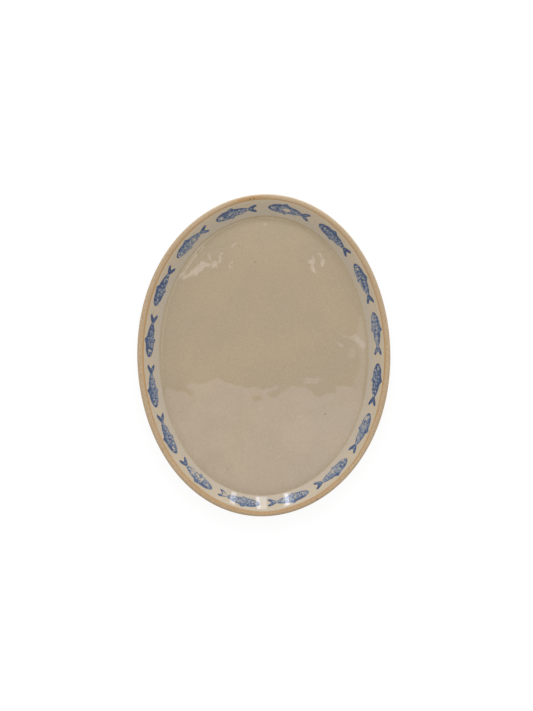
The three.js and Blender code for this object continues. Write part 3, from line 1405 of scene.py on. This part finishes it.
@dataclass(frozen=True)
class Window:
    """A tall window behind the platter: its bearing in degrees, width, distance and brightness."""

    bearing: float
    width: float
    far: float
    brightness: float
    height: float = 0.72
    lift: float = math.radians(16)
    towards: Point = (0.0, -0.1, 0.0)
    tint: Point = (0.92, 1.0, 1.2)

    def panel(self, number: int) -> Panel:
        """The window as a lamp.

        Args:
            number: which window, from 1.

        Returns:
            The lamp.
        """
        turn, flat = math.radians(self.bearing), self.far * math.cos(self.lift)
        at = (flat * math.sin(turn), flat * math.cos(turn), self.far * math.sin(self.lift))
        return Panel(
            f"Window_{number}", at, self.towards, self.width, self.height, self.brightness, self.tint,
        )


@dataclass
class Studio:
    """The white table, the soft light and the camera straight above the platter."""

    camera_height: float = 1.1
    rim_height: float = 0.015
    sensor: float = 36.0
    pixel: float = 0.000807
    centre_pixel: Pair = (263.8, 355.3)
    roll: float = 0.7
    sky: float = 1.36
    sky_lean: float = 0.24
    sky_dim: float = 0.5
    sky_narrow: float = 0.25
    cards_over_camera: float = 0.02
    card_gap: float = 0.01
    streak_tint: Point = (1.0, 0.92, 0.92)
    windows: tuple[Window, ...] = (
        Window(20.2, 0.09, 1.5, 5.2), Window(2.6, 0.06, 1.46, 6.5), Window(-1.2, 0.15, 1.5, 3.4),
        Window(-18.8, 0.05, 1.46, 6.5), Window(-19.4, 0.14, 1.5, 3.0),
    )
    table_size: float = 6.0
    table_drop: float = 0.0001
    table_grey: float = 0.8
    table_shaded: float = 0.16
    table_glow: float = 0.87

    def light(self) -> None:
        """Lights the world, brighter to the back and darker overhead."""
        world = bpy.data.worlds.new("Studio_Sky")
        world.use_nodes = True
        bpy.context.scene.world = world
        bench = NodeBench(world.node_tree)
        side, back, up = bench.parts(bench.shade("ShaderNodeTexCoord", output="Generated"))
        level = self.sky * (1 + self.sky_lean * back) * (1 - self.sky_dim * up.most(0.0))
        level = level * (1 - self.sky_narrow * side * side)
        sky = bench.shade("ShaderNodeBackground", None, {"Color": (1.0, 1.0, 1.0, 1.0), "Strength": level})
        bench.node("ShaderNodeOutputWorld", None, {"Surface": sky})

    def card(
        self,
        name: str,
        at: Pair,
        size: Pair,
        brightness: float,
        tint: Point,
        turn: float = 0.0,
        raised: float = 0.0,
    ) -> Panel:
        """A card that hangs level, a little higher than the camera.

        Args:
            name: the card's name.
            at: where it hangs over the table.
            size: its width and height.
            brightness: how bright its face is.
            tint: the colour of its light.
            turn: how far it is turned, in degrees.
            raised: how much higher than the other cards it hangs.

        Returns:
            The card as a lamp.
        """
        height = self.camera_height + self.cards_over_camera + raised
        return Panel(name, (*at, height), (*at, 0.0), *size, brightness, tint, turn)

    def panels(self) -> list[Panel]:
        """The lamps: a soft key, an overhead panel, small cards and tall windows.

        Returns:
            The lamps.
        """
        streak, gap = self.streak_tint, self.card_gap
        return [
            Panel("Key", (0.0, 1.5, 1.3), (0.0, 0.0, 0.0), width=1.8, height=1.2, brightness=1.0),
            self.card("Overhead", (0.0, -0.15), (0.36, 0.19), 0.82, (1.3, 1.2, 1.5)),
            self.card("Streak_Low", (-0.136, 0.129), (0.024, 0.007), 2.8, streak, turn=8.0),
            self.card("Streak_Middle", (-0.116, 0.145), (0.036, 0.012), 2.8, streak, turn=54.0),
            self.card("Streak_High", (-0.086, 0.154), (0.028, 0.034), 2.4, streak),
            self.card("Streak_Tail", (-0.06, 0.169), (0.016, 0.006), 2.4, streak, turn=10.0),
            self.card("Cloud_Card", (0.091, 0.16), (0.009, 0.014), 2.8, (1.0, 0.94, 0.94)),
            self.card("Overhead_Right", (0.11, -0.16), (0.14, 0.17), 0.25, (1.0, 1.03, 1.4), raised=gap),
            self.card("Side_Card", (0.227, 0.005), (0.16, 0.12), 0.75, (0.95, 1.0, 1.2)),
            self.card(
                "Wedge_Card", (0.149, 0.025), (0.03, 0.012), 1.5, (0.95, 1.0, 1.1), turn=-46.0, raised=-gap,
            ),
            *(window.panel(number) for number, window in enumerate(self.windows, 1)),
        ]

    def table_finish(self) -> bpy.types.Material:
        """Mixes the table's finish, white where it is seen and matt where it only throws light back.

        Returns:
            The material.
        """
        material, bench = new_material("White_Table")
        path = bench.node("ShaderNodeLightPath")
        seen = Shade(bench, path.outputs["Is Camera Ray"])
        for ray in ("Is Glossy Ray", "Is Transmission Ray"):
            seen = seen.most(Shade(bench, path.outputs[ray]))
        grey, shaded = (
            bench.shade("ShaderNodeBsdfDiffuse", None, {"Color": (level, level, level, 1.0)})
            for level in (self.table_grey, self.table_shaded)
        )
        glow = bench.shade(
            "ShaderNodeEmission", None, {"Color": (1.0, 1.0, 1.0, 1.0), "Strength": self.table_glow},
        )
        white = bench.shade("ShaderNodeAddShader", None, {0: shaded, 1: glow})
        bench.surface("ShaderNodeMixShader", {0: seen, 1: grey, 2: white})
        return material

    def floor(self) -> bpy.types.Object:
        """Lays the white table, which keeps a faint shadow.

        Returns:
            The table.
        """
        bm = bmesh.new()
        bmesh.ops.create_grid(bm, x_segments=1, y_segments=1, size=self.table_size)
        bmesh.ops.translate(bm, vec=(0.0, 0.0, -self.table_drop), verts=bm.verts)
        mesh = bpy.data.meshes.new("Table")
        bm.to_mesh(mesh)
        bm.free()
        mesh.materials.append(self.table_finish())
        table = bpy.data.objects.new("Table", mesh)
        bpy.context.scene.collection.objects.link(table)
        return table

    def camera(self) -> bpy.types.Object:
        """Sets the camera so that the platter fills the photograph's frame as it does there.

        Returns:
            The camera.
        """
        lens = bpy.data.cameras.new("Camera")
        lens.sensor_fit = "VERTICAL"
        lens.sensor_height = self.sensor
        lens.sensor_width = self.sensor
        lens.lens = self.sensor * (self.camera_height - self.rim_height) / (IMAGE_HEIGHT * self.pixel)
        camera = bpy.data.objects.new("Camera", lens)
        bpy.context.scene.collection.objects.link(camera)
        roll = math.radians(self.roll)
        right = (IMAGE_WIDTH / 2 - self.centre_pixel[0]) * self.pixel
        up = (self.centre_pixel[1] - IMAGE_HEIGHT / 2) * self.pixel
        camera.location = (
            right * math.cos(roll) - up * math.sin(roll),
            right * math.sin(roll) + up * math.cos(roll),
            self.camera_height,
        )
        camera.rotation_euler = (0.0, 0.0, roll)
        bpy.context.scene.camera = camera
        return camera

    def build(self) -> None:
        """Sets up the table, the light and the camera."""
        bpy.context.scene.view_settings.view_transform = "Standard"
        self.light()
        for panel in self.panels():
            panel.build()
        self.floor()
        self.camera()


def main() -> None:
    """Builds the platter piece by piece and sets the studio."""
    logging.basicConfig(level=logging.INFO, format="%(message)s")
    low, high = CAD_BOX
    plan = OvalPlan((high.x - low.x) / 2 / MM, (high.y - low.y) / 2 / MM)
    wall = WallProfile((high.z - low.z) / MM)
    ClayBody(plan, wall).dress(BareClay())
    GlazeLining(plan, wall).dress(GreigeGlaze())
    FishBand(plan, wall).dress(StampedGlaze())
    Studio().build()


if __name__ == "__main__":
    main()
